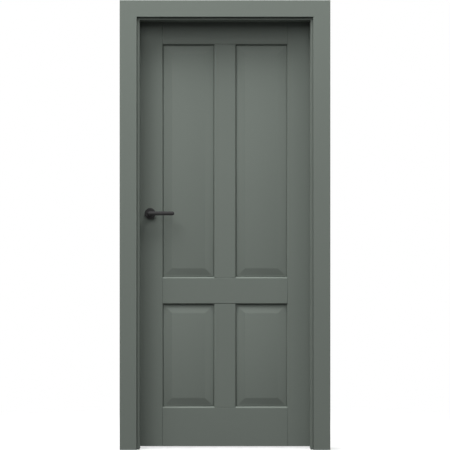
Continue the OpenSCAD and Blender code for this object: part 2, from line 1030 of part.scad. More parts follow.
// wire of the latch spring, wound round the bolt's tail
module latch_spring() {
    start = -edge_x + head_l + wire_r + in_gap;
    length = case_x + lug_x - start - wire_r - in_gap;
    rings = spring_turns * spring_n;
    points = [for (i = [0 : rings]) for (k = [0 : wire_n - 1])
        let (a = 360 * i / spring_n,
             r = spring_r + wire_r * cos(360 * k / wire_n))
        [start + length * i / rings + wire_r * sin(360 * k / wire_n),
         lock_y + r * cos(a), latch_z + r * sin(a)]];
    sides = [for (i = [0 : rings - 1]) for (k = [0 : wire_n - 1])
        let (a = i * wire_n + k,
             b = i * wire_n + (k + 1) % wire_n)
        [a, a + wire_n, b + wire_n, b]];
    ends = [[for (k = [0 : wire_n - 1]) k],
            [for (k = [wire_n - 1 : -1 : 0]) rings * wire_n + k]];
    color(steel)
        polyhedron(points = points, faces = concat(sides, ends), convexity = 10);
}

// plan of one half of the lever's mitred corner, drawn through its bar's height
module mitre_half(points) {
    linear_extrude(height = 2 * lever_d, center = true)
        polygon(points);
}

// lever on the push side, a bar mitred to its neck, with the spindle's socket and a grub screw hole
module lever() {
    bar_y = leaf_push - lever_stand;
    neck_y = leaf_push - neck_gap;
    color(black)
        translate([axis_x, 0, handle_z])
            difference() {
                union() {
                    intersection() {
                        translate([0, neck_y, 0])
                            rotate([90, 0, 0])
                                cylinder(r = lever_r, h = neck_y - bar_y + lever_d);
                        mitre_half([[-lever_d, bar_y - lever_d], [lever_d, bar_y + lever_d],
                                    [lever_d, leaf_push], [-lever_d, leaf_push]]);
                    }
                    intersection() {
                        translate([-lever_d, bar_y, 0])
                            rotate([0, 90, 0])
                                cylinder(r = lever_r, h = lever_reach - lever_r + lever_d);
                        mitre_half([[-lever_d, bar_y - lever_d], [lever_reach, bar_y - lever_d],
                                    [lever_reach, bar_y + lever_d], [lever_d, bar_y + lever_d]]);
                    }
                    translate([lever_reach - lever_r, bar_y, 0])
                        sphere(r = lever_r);
                }
                translate([0, leaf_push - spindle_in / 2, 0])
                    cube([spindle_s + 2 * spindle_fit, spindle_in + 2 * over,
                          spindle_s + 2 * spindle_fit], center = true);
                translate([0, leaf_push - grub_y, -lever_d])
                    cylinder(r = grub_r + spindle_fit, h = lever_d);
            }
}

// what is drawn on the push side, set on the pull side
module on_pull_side() {
    translate([0, leaf_push + leaf_pull, 0])
        mirror([0, 1, 0])
            children();
}

module push_lever() {
    lever();
}

module pull_lever() {
    on_pull_side()
        lever();
}

// round cover with an eased rim and a collar round the lever's neck
module rose() {
    bore = lever_r + neck_fit;
    collar_r = bore + collar_w;
    collar_top = rose_h + collar_h;
    color(black)
        translate([axis_x, leaf_push, handle_z])
            rotate([90, 0, 0])
                rotate_extrude()
                    polygon(concat(
                        [[rose_r - rose_wall, 0], [rose_r, 0]],
                        arc(rose_r - rose_ease, rose_h - rose_ease, rose_ease, 0, 90),
                        [[collar_r, rose_h]],
                        arc(collar_r - collar_ease, collar_top - collar_ease, collar_ease, 0, 90),
                        [[bore, collar_top], [bore, rose_h - rose_wall],
                         [rose_r - rose_wall, rose_h - rose_wall]]));
}

module push_rose() {
    rose();
}

module pull_rose() {
    on_pull_side()
        rose();
}

// disc that carries the bush and takes the through bolts
module rose_base() {
    color(zinc)
        difference() {
            translate([axis_x, leaf_push, handle_z])
                rotate([90, 0, 0])
                    difference() {
                        cylinder(r = base_r, h = base_h);
                        translate([0, 0, -over])
                            cylinder(r = lever_r + neck_fit + bush_t + neck_fit, h = base_h + 2 * over);
                    }
            bolt_set(bolt_r + spindle_fit);
        }
}

// counterbores for the heads of the through bolts
module bolt_heads(wider) {
    for (s = [-1, 1])
        translate([axis_x + s * bolt_off, leaf_pull + base_h - bolt_head_h - wider, handle_z])
            rotate([-90, 0, 0])
                cylinder(r = bolt_head_r + wider, h = bolt_head_h + 2 * wider);
}

module push_rose_base() {
    rose_base();
}

module pull_rose_base() {
    difference() {
        on_pull_side()
            rose_base();
        bolt_heads(spindle_fit);
    }
}

// ring in which the lever's neck turns
module bush() {
    color(nylon)
        translate([axis_x, leaf_push, handle_z])
            rotate([90, 0, 0])
                difference() {
                    cylinder(r = lever_r + neck_fit + bush_t, h = base_h);
                    translate([0, 0, -over])
                        cylinder(r = lever_r + neck_fit, h = base_h + 2 * over);
                }
}

module push_bush() {
    bush();
}

module pull_bush() {
    on_pull_side()
        bush();
}

module spindle() {
    color(steel)
        translate([axis_x, leaf_mid, handle_z])
            cube([spindle_s, leaf_t + 2 * spindle_in, spindle_s], center = true);
}

module rose_bolts() {
    color(steel) {
        bolt_set(bolt_r);
        bolt_heads(0);
    }
}

// grub screws under the levers' necks
module grub() {
    color(steel)
        translate([axis_x, leaf_push - grub_y, handle_z - lever_r])
            cylinder(r = grub_r, h = lever_r - spindle_s / 2 - spindle_fit);
}

module lever_grub_screws() {
    grub();
    on_pull_side()
        grub();
}

jamb_latch_side();
jamb_hinge_side();
jamb_head();
push_casing_latch_side();
push_casing_hinge_side();
push_casing_head();
pull_casing_latch_side();
pull_casing_hinge_side();
pull_casing_head();
seal_latch_side();
seal_hinge_side();
seal_head();
corner_bracket_left();
corner_bracket_right();
bracket_screws();
strike_plate();
strike_screws();
hinge_frame_knuckle_top();
hinge_frame_knuckle_middle();
hinge_frame_knuckle_bottom();
hinge_leaf_knuckle_top();
hinge_leaf_knuckle_middle();
hinge_leaf_knuckle_bottom();
hinge_pin_top();
hinge_pin_middle();
hinge_pin_bottom();
hinge_washers();
latch_stile();
hinge_stile();
top_rail();
lock_rail();
bottom_rail();
upper_mullion();
lower_mullion();
panel_upper_left();
panel_upper_right();
panel_lower_left();
panel_lower_right();
dowels();
lock_case();
lock_cover();
lock_forend();
forend_screws();
follower();
latch_bolt();
latch_spring();
push_lever();
pull_lever();
push_rose();
pull_rose();
push_rose_base();
pull_rose_base();
push_bush();
pull_bush();
spindle();
rose_bolts();
lever_grub_screws();
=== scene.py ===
# %% [markdown]
# # A painted panel door in its frame
#
# The CAD model already has every size of this door: jambs, casings, leaf, lock, hinges and
# handle. Here it gets its looks. We load it as a fixed frame, look at it as the photograph does,
# mix its finishes from nodes, and give the parts that a hand or an eye meets the small roundings
# and details that real joinery has.

# %% Load the frame
import json
import math

import bmesh
import bpy
from mathutils import Matrix, Vector


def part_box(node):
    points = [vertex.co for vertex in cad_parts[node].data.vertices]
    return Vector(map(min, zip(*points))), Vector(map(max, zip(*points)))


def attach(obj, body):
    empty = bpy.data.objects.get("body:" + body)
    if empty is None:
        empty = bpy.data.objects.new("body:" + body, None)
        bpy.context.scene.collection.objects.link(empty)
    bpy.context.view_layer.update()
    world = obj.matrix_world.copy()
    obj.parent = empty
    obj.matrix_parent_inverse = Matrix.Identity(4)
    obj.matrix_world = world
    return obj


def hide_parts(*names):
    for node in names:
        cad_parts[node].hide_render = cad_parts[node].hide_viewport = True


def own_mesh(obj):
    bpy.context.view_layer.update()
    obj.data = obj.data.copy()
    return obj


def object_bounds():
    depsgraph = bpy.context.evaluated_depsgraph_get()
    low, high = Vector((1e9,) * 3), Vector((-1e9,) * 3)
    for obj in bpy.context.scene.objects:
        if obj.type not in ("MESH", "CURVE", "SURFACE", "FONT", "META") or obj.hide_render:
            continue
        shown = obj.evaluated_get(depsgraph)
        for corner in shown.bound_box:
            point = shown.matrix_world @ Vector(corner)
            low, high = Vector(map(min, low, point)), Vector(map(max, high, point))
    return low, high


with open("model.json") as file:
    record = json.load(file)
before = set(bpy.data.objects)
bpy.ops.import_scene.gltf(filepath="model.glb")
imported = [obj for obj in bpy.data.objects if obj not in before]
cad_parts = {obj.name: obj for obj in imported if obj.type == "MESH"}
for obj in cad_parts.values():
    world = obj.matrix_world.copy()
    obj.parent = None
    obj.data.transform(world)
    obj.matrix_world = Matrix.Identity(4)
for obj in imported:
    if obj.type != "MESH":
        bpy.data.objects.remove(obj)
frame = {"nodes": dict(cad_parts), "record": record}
cad_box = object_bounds()
MM = 0.001

# %% [markdown]
# ## The camera
#
# The door is seen square on, from about half its height and from far away, so its uprights stay
# upright. A long lens does that without any shift. The width of the view is worked out from the
# height of the frame, which just fills the square picture.

# %% Place the camera
EYE_HEIGHT = 1.059
EYE_DISTANCE = 9.70
front = cad_box[0].y
half_view = (cad_box[1].z - cad_box[0].z) / 2

camera = bpy.data.objects.new("camera", bpy.data.cameras.new("camera"))
camera.data.angle = 2 * math.atan(half_view / EYE_DISTANCE)
camera.location = (0, front - EYE_DISTANCE, EYE_HEIGHT)
camera.rotation_euler = (math.radians(90), 0, 0)
bpy.context.scene.collection.objects.link(camera)
bpy.context.scene.camera = camera
bpy.context.scene.view_settings.view_transform = "Standard"
print("lens", round(camera.data.lens, 1), "mm")

# %% [markdown]
# ## Sums of sockets
#
# A finish is a small sum: a base value plus a bit of noise. Written node by node that is hard to
# read, so one class wraps a socket and lets us write `0.5 + 0.1 * noise`. Numbers go through Math
# nodes and vectors through Vector Math. Every other node comes from `node`, which sets the node's
# own settings first and then its sockets, and `add` gives one of its outputs.


# %% A socket that can be added and multiplied
class Wire:
    def __init__(self, socket):
        self.socket = socket

    @staticmethod
    def node(tree, kind, settings=None, sockets=None):
        made = tree.nodes.new(kind)
        for name, value in (settings or {}).items():
            setattr(made, name, value)
        for name, value in (sockets or {}).items():
            if isinstance(value, Wire):
                tree.links.new(value.socket, made.inputs[name])
            else:
                made.inputs[name].default_value = value
        return made

    @staticmethod
    def add(tree, kind, settings=None, sockets=None, out=0):
        return Wire(Wire.node(tree, kind, settings, sockets).outputs[out])

    def sum(self, operation, first, second):
        vector = self.socket.type == "VECTOR"
        kind = "ShaderNodeVectorMath" if vector else "ShaderNodeMath"
        return Wire.add(self.socket.id_data, kind, {"operation": operation}, {0: first, 1: second})

    def __add__(self, other):
        return self.sum("ADD", self, other)

    def __radd__(self, other):
        return self.sum("ADD", other, self)

    def __sub__(self, other):
        return self.sum("SUBTRACT", self, other)

    def __rsub__(self, other):
        return self.sum("SUBTRACT", other, self)

    def __mul__(self, other):
        return self.sum("MULTIPLY", self, other)

    def __rmul__(self, other):
        return self.sum("MULTIPLY", other, self)

    def to(self, socket):
        self.socket.id_data.links.new(self.socket, socket)


print("sockets can be added and multiplied")

# %% [markdown]
# ## Floor and background
#
# The photograph has a plain white ground. The floor and the world turn white only for the rays
# that the camera, a mirror or glass sends out. All other rays meet a grey floor and a dark sky, so
# the white doesn't wash over the paint. Close to the door the floor gives up part of that white,
# which lets the soft shadow at its foot show.

# %% Make the floor and the world
FLOOR_HALF = 40.0
FLOOR_DROP = 0.4 * MM
FLOOR_GREY = (0.06, 0.06, 0.06, 1)
WHITE = (1, 1, 1, 1)
SHADOW_PALE = (0.7, 0.7, 0.7, 1)
SHADOW_SHARE = 0.45
SHADOW_NEAR = 0.6
SHADOW_FAR = 2.2
SKY_FILL = 0.0


def seen_directly(tree):
    paths = ("Is Camera Ray", "Is Glossy Ray", "Is Transmission Ray")
    light = Wire.node(tree, "ShaderNodeLightPath")
    wires = [Wire(light.outputs[name]) for name in paths]
    either = wires[0].sum("MAXIMUM", wires[0], wires[1])
    return either.sum("MAXIMUM", either, wires[2])


def floor_finish():
    finish = bpy.data.materials.new("white_floor")
    finish.use_nodes = True
    tree = finish.node_tree
    tree.nodes.clear()
    place = Wire.add(tree, "ShaderNodeTexCoord", out=3)
    apart = Wire.add(tree, "ShaderNodeVectorMath", {"operation": "LENGTH"}, {0: place}, out=1)
    near = Wire.add(tree, "ShaderNodeMapRange", {"interpolation_type": "SMOOTHSTEP"},
                    {"Value": apart, "From Min": SHADOW_NEAR, "From Max": SHADOW_FAR,
                     "To Min": 1 - SHADOW_SHARE, "To Max": 1.0})
    plain = Wire.add(tree, "ShaderNodeBsdfDiffuse", None, {"Color": FLOOR_GREY})
    pale = Wire.add(tree, "ShaderNodeBsdfDiffuse", None, {"Color": SHADOW_PALE})
    glow = Wire.add(tree, "ShaderNodeEmission", None, {"Color": WHITE, "Strength": 1.0})
    shown = Wire.add(tree, "ShaderNodeMixShader", None, {0: near, 1: pale, 2: glow})
    whole = Wire.add(tree, "ShaderNodeMixShader", None,
                     {0: seen_directly(tree), 1: plain, 2: shown})
    Wire.node(tree, "ShaderNodeOutputMaterial", None, {"Surface": whole})
    return finish


corners = [(-FLOOR_HALF, -FLOOR_HALF), (FLOOR_HALF, -FLOOR_HALF),
           (FLOOR_HALF, FLOOR_HALF), (-FLOOR_HALF, FLOOR_HALF)]
floor_mesh = bpy.data.meshes.new("floor")
floor_mesh.from_pydata([(x, y, -FLOOR_DROP) for x, y in corners], [], [(0, 1, 2, 3)])
floor_mesh.materials.append(floor_finish())
floor = bpy.data.objects.new("floor", floor_mesh)
bpy.context.scene.collection.objects.link(floor)

world = bpy.data.worlds.new("white_room")
bpy.context.scene.world = world
world.use_nodes = True
sky = world.node_tree
sky.nodes.clear()
dark = Wire.add(sky, "ShaderNodeBackground", None, {"Color": WHITE, "Strength": SKY_FILL})
bright = Wire.add(sky, "ShaderNodeBackground", None, {"Color": WHITE, "Strength": 1.0})
both = Wire.add(sky, "ShaderNodeMixShader", None, {0: seen_directly(sky), 1: dark, 2: bright})
Wire.node(sky, "ShaderNodeOutputWorld", None, {"Surface": both})
print("floor and world are white to the camera")

# %% [markdown]
# ## Light
#
# The photograph has the even light of a studio with white panels. Most of it comes from above, a
# little more from the left, and some from the front, which opens the shadow that the head throws on
# the leaf. We hang four panels round the front of the door and two behind it, so that its other
# side can be looked at too. Each is placed by how far it is turned from the front and
# how high it stands, and its watts are such that a colour renders about as it is written.

# %% Set the lamps
LAMP_RANGE = 8.0
middle = (cad_box[0] + cad_box[1]) / 2


def lamp(name, turn, rise, width, height, watts):
    around, up = math.radians(turn), math.radians(rise)
    way = Vector((math.sin(around) * math.cos(up), -math.cos(around) * math.cos(up), math.sin(up)))
    data = bpy.data.lights.new(name, "AREA")
    data.shape, data.size, data.size_y, data.energy = "RECTANGLE", width, height, watts
    made = bpy.data.objects.new(name, data)
    made.location = middle + LAMP_RANGE * way
    made.rotation_euler = (-way).to_track_quat("-Z", "Y").to_euler()
    bpy.context.scene.collection.objects.link(made)


lamp("overhead_panel", -56, 71, 4.2, 3.2, 545)
lamp("left_panel", -45, 50, 3.0, 3.8, 400)
lamp("right_panel", 45, 60, 3.0, 3.2, 352)
lamp("front_panel", -3, 31, 5.6, 4.4, 257)
lamp("rear_left_panel", 222, 50, 3.0, 3.0, 640)
lamp("rear_right_panel", 140, 38, 3.0, 3.0, 330)
print("six lamps, each", LAMP_RANGE, "m from the door")

# %% [markdown]
# ## Finishes
#
# Nothing on a real door is one flat colour. Sprayed lacquer has a faint stipple and drifts a
# little in tone, powder coat is grainy, brushed steel has lines, board shows its fibres. Each
# finish below is a Principled shader whose colour, roughness and bump come from noise read at the
# object's own coordinates, in metres, so the grain has its real size.

# %% Helpers for finishes


class Finish:
    def __init__(self, name, **plain):
        self.material = bpy.data.materials.new(name)
        self.material.use_nodes = True
        self.tree = self.material.node_tree
        self.shader = self.tree.nodes["Principled BSDF"]
        for socket, value in plain.items():
            self.shader.inputs[socket.replace("_", " ")].default_value = value
        self.place = Wire.add(self.tree, "ShaderNodeTexCoord", out=3)

    def stretched(self, x, y, z):
        return self.place * (x, y, z)

    def noise(self, per_metre, detail=2.0, place=None):
        return Wire.add(self.tree, "ShaderNodeTexNoise", None,
                        {"Vector": place or self.place, "Scale": per_metre, "Detail": detail})

    def colour(self, share, dark, light):
        mixed = Wire.add(self.tree, "ShaderNodeMix", {"data_type": "RGBA"},
                         {0: share, 6: (*dark, 1), 7: (*light, 1)}, out=2)
        mixed.to(self.shader.inputs["Base Color"])

    def rough(self, value):
        value.to(self.shader.inputs["Roughness"])

    def bump(self, height, strength, depth):
        normal = Wire.add(self.tree, "ShaderNodeBump", None,
                          {"Strength": strength, "Distance": depth, "Height": height})
        normal.to(self.shader.inputs["Normal"])


def tinted(colour, share):
    return tuple(share * c for c in colour)


print("finish helper ready")

# %% [markdown]
# ### Sage lacquer and raw board
#
# The joinery is primed and sprayed with a matt grey-green lacquer. The gun leaves a stipple of
# about a millimetre, and the coat lies a touch thicker here and there. The faces that the wall
# hides stay raw: brown fibreboard with fine pale fibres.

# %% Lacquer and board
SAGE = (0.1444, 0.165, 0.1472)

lacquer = Finish("sage_lacquer", Specular_IOR_Level=0.08)
drift = lacquer.noise(2.5, 1.0)
stipple = lacquer.noise(700, 1.5)
lacquer.colour(0.7 * drift + 0.3 * lacquer.noise(55), tinted(SAGE, 0.97), tinted(SAGE, 1.03))
lacquer.rough(0.48 + 0.10 * lacquer.noise(30) + 0.06 * stipple)
lacquer.bump(stipple, 0.10, 0.15 * MM)

board = Finish("raw_fibreboard", Specular_IOR_Level=0.2)
fibres = board.noise(1400, 3.0, board.stretched(1, 1, 0.35))
clumps = board.noise(90, 2.0)
board.colour(0.55 * fibres + 0.45 * clumps, (0.18, 0.120, 0.068), (0.33, 0.235, 0.145))
board.rough(0.78 + 0.14 * fibres)
board.bump(fibres, 0.35, 0.2 * MM)
print("lacquer and board mixed")

# %% [markdown]
# ### Metals, rubber, nylon and beech
#
# The handle is powder coated black, fine as leather grain. Hinges, latch and strike are satin
# nickel with brush lines along their length. The hidden fittings are zinc plated, blotchy as
# plating is. The seal is soft dark rubber, the bushes are milky nylon, the dowels fluted beech.

# %% Metals
coat = Finish("black_powder_coat", Specular_IOR_Level=0.46)
grain = coat.noise(2600, 2.0)
coat.colour(grain, (0.011, 0.011, 0.011), (0.017, 0.017, 0.017))
coat.rough(0.80 + 0.14 * coat.noise(900))
coat.bump(grain, 0.22, 0.12 * MM)

nickel = Finish("satin_nickel", Metallic=1.0)
brush = nickel.noise(900, 2.0, nickel.stretched(1, 1, 0.03))
nickel.colour(brush, (0.36, 0.35, 0.33), (0.48, 0.47, 0.45))
nickel.rough(0.24 + 0.16 * brush)
nickel.bump(brush, 0.06, 0.05 * MM)

zinc = Finish("bright_zinc", Metallic=1.0)
blotch = zinc.noise(140, 3.0)
zinc.colour(blotch, (0.30, 0.32, 0.34), (0.46, 0.47, 0.47))
zinc.rough(0.34 + 0.2 * blotch)
zinc.bump(zinc.noise(1200), 0.05, 0.05 * MM)
print("metals mixed")

# %% Rubber, nylon, beech
rubber = Finish("soft_rubber", Specular_IOR_Level=0.3)
bloom = rubber.noise(60, 2.0)
rubber.colour(bloom, (0.020, 0.022, 0.021), (0.034, 0.037, 0.035))
rubber.rough(0.55 + 0.2 * bloom)
rubber.bump(rubber.noise(1500), 0.08, 0.1 * MM)

nylon = Finish("milky_nylon", Specular_IOR_Level=0.4)
haze = nylon.noise(80, 2.0)
nylon.colour(haze, (0.62, 0.61, 0.56), (0.72, 0.71, 0.67))
nylon.rough(0.42 + 0.12 * haze)
nylon.bump(nylon.noise(900), 0.05, 0.05 * MM)

beech = Finish("fluted_beech", Specular_IOR_Level=0.25)
rings = beech.noise(260, 3.0, beech.stretched(0.08, 1, 0.08))
flecks = beech.noise(900, 2.0, beech.stretched(0.15, 1, 0.15))
beech.colour(0.6 * rings + 0.4 * flecks, (0.38, 0.24, 0.13), (0.60, 0.43, 0.27))
beech.rough(0.52 + 0.2 * flecks)
beech.bump(flecks, 0.15, 0.1 * MM)
print("rubber, nylon and beech mixed")

# %% [markdown]
# ## Putting a piece in the scene
#
# Every piece is a plain mesh at the origin, with its place in its points. It rides on the CAD body
# that carries the real part, takes its finishes, and hides the CAD nodes that it stands for.

# %% Place a piece
FOLD = math.radians(35)


def place(name, mesh, body, slot, finishes, nodes=()):
    piece = bpy.data.objects.new(name, mesh)
    bpy.context.scene.collection.objects.link(piece)
    for k, finish in enumerate(finishes):
        if k < len(mesh.materials):
            mesh.materials[k] = finish.material
        else:
            mesh.materials.append(finish.material)
    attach(piece, body)
    if nodes:
        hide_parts(*nodes)
    return piece


def smoothed(mesh, fold=FOLD):
    mesh.shade_smooth()
    mesh.set_sharp_from_angle(angle=fold)
    return mesh


def settled(piece):
    """What the piece's modifiers make, as a plain mesh."""
    graph = bpy.context.evaluated_depsgraph_get()
    mesh = bpy.data.meshes.new_from_object(piece.evaluated_get(graph), depsgraph=graph)
    bpy.data.objects.remove(piece)
    return mesh


def on_bench(name, mesh):
    piece = bpy.data.objects.new(name, mesh)
    bpy.context.scene.collection.objects.link(piece)
    return piece


print("pieces can be placed")

# %% [markdown]
# ## Joinery with eased arrises
#
# Lacquer won't stay on a knife edge, so a joiner takes every outer arris off with fine paper. We
# copy a CAD node, merge its loose triangles back into whole faces, round its sharp outer edges by
# a fraction of a millimetre and clear the slivers that this leaves. Normals are weighted by area,
# so the broad faces stay flat and only the arris catches the light. A plate is drilled for its
# screws first and keeps its triangles, because a merged face would close the holes. The faces that
# the wall hides get raw board as a second finish.

# %% Ease a copy of a CAD node
SAME_POINT = 2e-6
FLAT = math.radians(0.4)
SHARP = math.radians(26)
HARD_EDGE = math.radians(60)
ARRIS_STEPS = 2
SHORTEST = 9 * MM


def drilled(shape, drills):
    """The shape with every drill cut out of it."""
    mesh = bpy.data.meshes.new("undrilled")
    shape.to_mesh(mesh)
    bench, tool = on_bench("undrilled", mesh), on_bench("drills", drills)
    cut = bench.modifiers.new("cut", "BOOLEAN")
    cut.operation, cut.solver, cut.object = "DIFFERENCE", "EXACT", tool
    made = settled(bench)
    bpy.data.objects.remove(tool)
    shape.clear()
    shape.from_mesh(made)


def eased(node, radius, hidden=None, shortest=SHORTEST, drills=None):
    """A node's copy with rounded arrises. Faces that `hidden` picks get the second finish."""
    shape = bmesh.new()
    shape.from_mesh(frame["nodes"][node].data)
    bmesh.ops.remove_doubles(shape, verts=shape.verts, dist=SAME_POINT)
    if drills:
        drilled(shape, drills)
    else:
        bmesh.ops.dissolve_limit(shape, angle_limit=FLAT, use_dissolve_boundaries=False,
                                 verts=shape.verts[:], edges=shape.edges[:])
    arrises = [e for e in shape.edges if len(e.link_faces) == 2
               and e.calc_face_angle_signed() > SHARP and e.calc_length() > shortest]
    bmesh.ops.bevel(shape, geom=arrises, offset=radius, offset_type="OFFSET", segments=ARRIS_STEPS,
                    profile=0.5, affect="EDGES", clamp_overlap=False)
    bmesh.ops.remove_doubles(shape, verts=shape.verts, dist=SAME_POINT)
    bmesh.ops.dissolve_degenerate(shape, edges=shape.edges, dist=SAME_POINT)
    for face in shape.faces:
        face.smooth = True
        face.material_index = 1 if hidden and hidden(face.calc_center_median(), face.normal) else 0
    mesh = bpy.data.meshes.new(node + "_eased")
    shape.to_mesh(mesh)
    shape.free()
    for left in ("custom_normal", "sharp_edge", "sharp_face"):
        if left in mesh.attributes:
            mesh.attributes.remove(mesh.attributes[left])
    mesh.set_sharp_from_angle(angle=HARD_EDGE)
    bench = on_bench(node + "_bench", mesh)
    weigh = bench.modifiers.new("weigh", "WEIGHTED_NORMAL")
    weigh.keep_sharp = True
    return settled(bench)


print("easing ready")

# %% [markdown]
# ### Leaf members
#
# Stiles, rails and mullions meet with a fine V line, because the stile's moulded arris runs past
# the rail's end. Easing both sides of the joint keeps that line soft, as paint does.

# %% Stiles, rails and mullions
MEMBER_EASE = 0.5 * MM
members = ("latch_stile", "hinge_stile", "top_rail", "lock_rail", "bottom_rail",
           "upper_mullion", "lower_mullion")
for member in members:
    mesh = eased(member, MEMBER_EASE)
    place(member + "_painted", mesh, "leaf", "paint", [lacquer], [member])
    print(member, len(mesh.polygons), "faces")

# %% [markdown]
# ### Jambs and casings
#
# The frame is mitred at its corners. Its casings already have rounded front edges, so only the
# mitre and the back edges are touched. Backs, tongues, outer faces and feet stay raw board.

# %% Jambs and casings
JAMB_EASE = 0.6 * MM
CASING_EASE = 0.25 * MM
jamb_low, jamb_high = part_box("jamb_head")
jamb_out = jamb_high.x
wall_push, wall_pull = jamb_low.y, jamb_high.y
NEAR = 0.5 * MM
FACES_DOWN = -0.9


def under_foot(at, way):
    return way.z < FACES_DOWN and at.z < NEAR


def behind_jamb(at, way):
    outside = abs(at.x) > jamb_out - NEAR or at.z > jamb_high.z - NEAR
    return outside or under_foot(at, way)


def behind_push_casing(at, way):
    return at.y > wall_push - NEAR or under_foot(at, way)


def behind_pull_casing(at, way):
    return at.y < wall_pull + NEAR or under_foot(at, way)


for side in ("latch_side", "hinge_side", "head"):
    runs = (("jamb_", JAMB_EASE, behind_jamb), ("push_casing_", CASING_EASE, behind_push_casing),
            ("pull_casing_", CASING_EASE, behind_pull_casing))
    for kind, ease, hidden in runs:
        mesh = eased(kind + side, ease, hidden)
        place(kind + side + "_painted", mesh, "frame", "paint", [lacquer, board], [kind + side])
        print(kind + side, len(mesh.polygons), "faces")

# %% [markdown]
# ## Raised panels from one rule
#
# All four panels follow one rule: a thin tongue that sits in the grooves, a step up to a flat
# margin, a sloped bevel and a raised field, the same on both faces. The step leaves a narrow open
# joint beside the moulding, which shows as a dark line. A Geometry Nodes tree says this once. It
# starts from a block, pulls a smaller face out of each side and does so again for every step.
# Sizes are the tree's inputs, so the tall and the short panels come from the same tree.

# %% Helpers for Geometry Nodes


def new_tree(name, sizes):
    tree = bpy.data.node_groups.new(name, "GeometryNodeTree")
    face = tree.interface
    face.new_socket("Geometry", in_out="OUTPUT", socket_type="NodeSocketGeometry")
    face.new_socket("Geometry", in_out="INPUT", socket_type="NodeSocketGeometry")
    for label, kind in sizes:
        face.new_socket(label, in_out="INPUT", socket_type="NodeSocket" + kind)
    given = Wire.node(tree, "NodeGroupInput")
    inputs = {socket.name: Wire(socket) for socket in given.outputs if socket.name}
    return tree, inputs


def end_tree(tree, geometry, material):
    real = Wire.add(tree, "GeometryNodeRealizeInstances", None, {"Geometry": geometry})
    dressed = Wire.add(tree, "GeometryNodeSetMaterial", None,
                       {"Geometry": real, "Material": material})
    Wire.node(tree, "NodeGroupOutput", None, {0: dressed})


def grow(name, tree, mesh, values):
    """Runs a tree on a mesh and gives the object that carries it."""
    bench = on_bench(name, mesh)
    modifier = bench.modifiers.new("grow", "NODES")
    modifier.node_group = tree
    for item in tree.interface.items_tree:
        if item.in_out == "INPUT" and item.name in values:
            modifier[item.identifier] = values[item.name]
    return bench


print("tree helpers ready")

# %% The panel tree


def panel_tree():
    tree, given = new_tree("raised_panel", (
        ("Width", "Float"), ("Height", "Float"), ("Edge", "Float"), ("Tongue", "Float"),
        ("Step", "Float"), ("Foot", "Float"), ("Bevel", "Float"), ("Rise", "Float"),
        ("Middle", "Vector"), ("Finish", "Material")))
    size = Wire.add(tree, "ShaderNodeCombineXYZ", None,
                    {0: given["Width"], 1: given["Edge"], 2: given["Height"]})
    block = Wire.add(tree, "GeometryNodeMeshCube", None, {"Size": size})
    normal = Wire.add(tree, "GeometryNodeInputNormal")
    facing = Wire.add(tree, "ShaderNodeSeparateXYZ", None, {0: normal}, out=1)
    chosen = facing.sum("GREATER_THAN", facing * facing, 0.5)
    rings = ((given["Tongue"], None), (given["Tongue"], given["Step"]), (given["Foot"], None),
             (given["Foot"] + given["Bevel"], given["Rise"]))
    for inset, lift in rings:
        pulled = Wire.add(tree, "GeometryNodeExtrudeMesh", {"mode": "FACES"},
                          {"Mesh": block, "Selection": chosen, "Offset Scale": 0.0,
                           "Individual": False})
        chosen = Wire(pulled.socket.node.outputs["Top"])
        spot = Wire.node(tree, "ShaderNodeSeparateXYZ", None,
                         {0: Wire.add(tree, "GeometryNodeInputPosition")})
        x, y, z = (Wire(socket) for socket in spot.outputs)
        across = x.sum("SIGN", x, 0.0) * (0.5 * given["Width"] - inset)
        up = z.sum("SIGN", z, 0.0) * (0.5 * given["Height"] - inset)
        deep = y if lift is None else y + y.sum("SIGN", y, 0.0) * lift
        spread = Wire.add(tree, "ShaderNodeCombineXYZ", None, {0: across, 1: deep, 2: up})
        block = Wire.add(tree, "GeometryNodeSetPosition", None,
                         {"Geometry": pulled, "Selection": chosen, "Position": spread})
    set_down = Wire.add(tree, "GeometryNodeTransform", None,
                        {"Geometry": block, "Translation": given["Middle"]})
    end_tree(tree, set_down, given["Finish"])
    return tree


panel_rule = panel_tree()
print("panel tree has", len(panel_rule.nodes), "nodes")

# %% Four panels
RECESS = 11 * MM
FIELD_RECESS = 2 * MM
PANEL_TONGUE = 13 * MM
PANEL_STEP = 3 * MM
PANEL_FOOT = 19 * MM
PANEL_BEVEL = 34 * MM
PANEL_EASE = 0.8 * MM
PANEL_ROUND = 3
PANEL_FOLD = math.radians(8)
leaf_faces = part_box("lock_rail")
leaf_thick = leaf_faces[1].y - leaf_faces[0].y

for panel in ("upper_left", "upper_right", "lower_left", "lower_right"):
    low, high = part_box("panel_" + panel)
    bench = grow(panel + "_bench", panel_rule, bpy.data.meshes.new(panel), {
        "Width": high.x - low.x, "Height": high.z - low.z,
        "Edge": leaf_thick - 2 * (RECESS + PANEL_STEP), "Tongue": PANEL_TONGUE, "Step": PANEL_STEP,
        "Foot": PANEL_FOOT, "Bevel": PANEL_BEVEL, "Rise": RECESS - FIELD_RECESS,
        "Middle": (low + high) / 2, "Finish": lacquer.material})
    ease = bench.modifiers.new("ease", "BEVEL")
    ease.width, ease.segments, ease.angle_limit = PANEL_EASE, PANEL_ROUND, PANEL_FOLD
    bench.modifiers.new("weigh", "WEIGHTED_NORMAL")
    mesh = settled(bench)
    mesh.shade_smooth()
    place("panel_" + panel + "_painted", mesh, "leaf", "paint", [lacquer], ["panel_" + panel])
    print("panel", panel, [round(v / MM) for v in high - low], "mm")

# %% [markdown]
# ## Turned and swept shapes
#
# Roses, hinge barrels and screws are turned on a lathe, the lever is a round bar with one corner.
# Both are rings of points: a turned part repeats a profile round an axis, a bar carries a ring
# along a path. Short functions make them, with caps where the shape ends.

